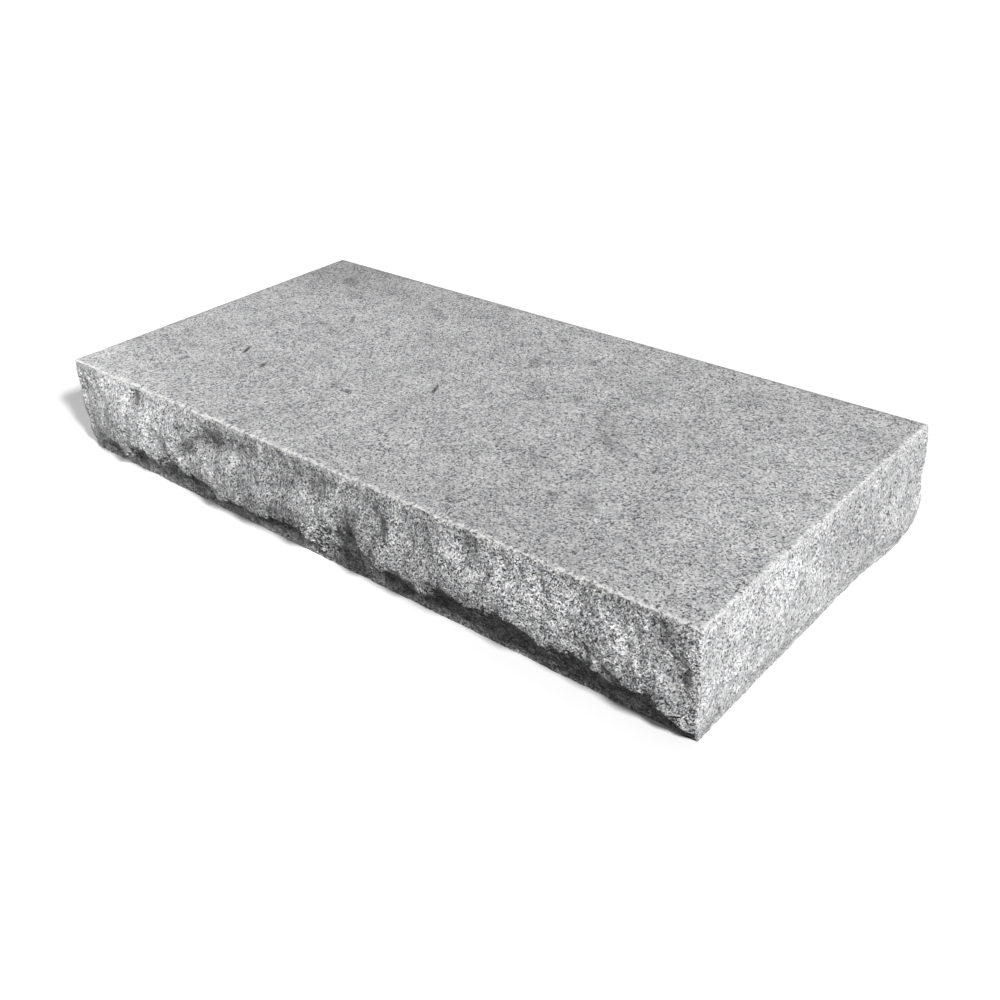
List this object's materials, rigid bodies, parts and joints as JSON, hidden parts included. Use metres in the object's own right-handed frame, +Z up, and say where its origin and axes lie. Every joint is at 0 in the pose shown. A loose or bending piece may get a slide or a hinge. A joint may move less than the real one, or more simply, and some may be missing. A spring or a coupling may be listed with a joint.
{
  "type": "granite entrance step",
  "caption": "Rectangular granite entrance step with a flat flamed tread, a sawn bed and back, and a rock-faced front and ends.",
  "frame": {"origin": "middle of the sawn bed, straight under the middle of the tread, on the surface the step stands on", "axes": "+X along the front arris to the right as seen from the front, +Y from the front to the sawn back, +Z up through the tread"},
  "size_m": [1.2352, 0.632, 0.16],
  "materials": {
    "granite": "grey granite, flamed on the tread, rock-faced on the front and ends, sawn on the bed and back"
  },
  "bodies": {
    "root": {"granite_step": "granite"}
  },
  "joints": []
}
